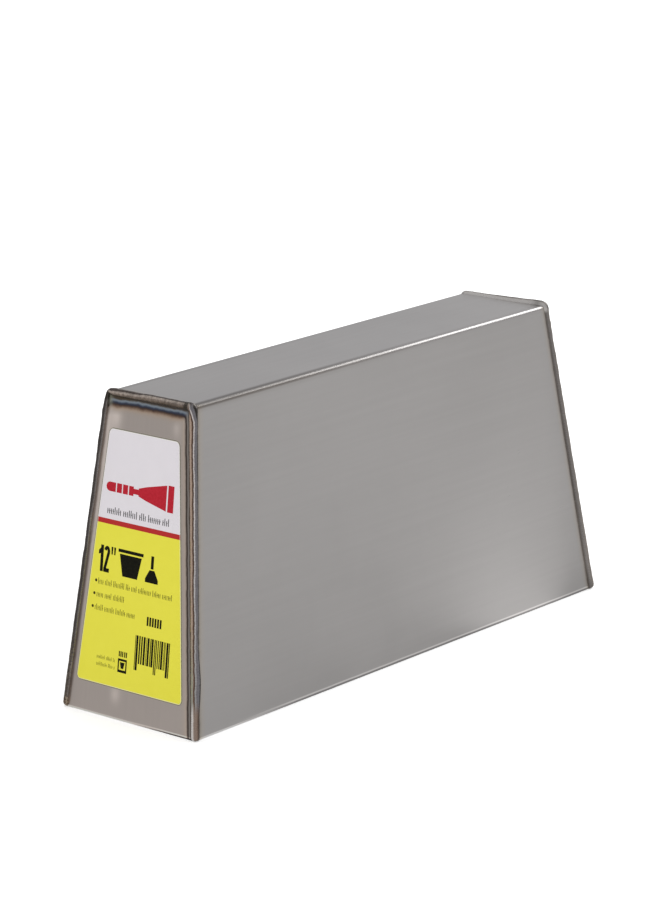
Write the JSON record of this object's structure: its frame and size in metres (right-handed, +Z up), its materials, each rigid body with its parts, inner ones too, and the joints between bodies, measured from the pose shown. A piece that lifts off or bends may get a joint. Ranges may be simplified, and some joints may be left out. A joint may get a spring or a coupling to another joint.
{
  "type": "mud pan",
  "caption": "Tapered stainless steel mud pan with a folded body, welded flat end plates, a plain sheared rim and a label on one end.",
  "frame": {"origin": "centre of the rim plane, with the pan standing on its rim, open side down", "axes": "+Z up from the rim to the closed base, X along the pan with the label on the -X end, Y across it. In use the pan is turned over, so its mouth faces -Z."},
  "size_m": [0.3204, 0.089, 0.1597],
  "materials": {
    "steel_sheet": "satin mill finish stainless sheet, with weld heat tint along the end seams",
    "weld_metal": "as-welded, rippled, brown to blue-grey heat tint",
    "label_stock": "printed adhesive label with a slight sheen: white above, a red stripe, yellow below",
    "label_adhesive": "thin clear pressure-sensitive adhesive"
  },
  "bodies": {
    "root": {"folded_sheet": "steel_sheet", "label_end_plate": "steel_sheet", "plain_end_plate": "steel_sheet", "label_end_base_weld": "weld_metal", "label_end_left_weld": "weld_metal", "label_end_right_weld": "weld_metal", "plain_end_base_weld": "weld_metal", "plain_end_left_weld": "weld_metal", "plain_end_right_weld": "weld_metal", "label_adhesive": "label_adhesive", "label": "label_stock"}
  },
  "joints": []
}
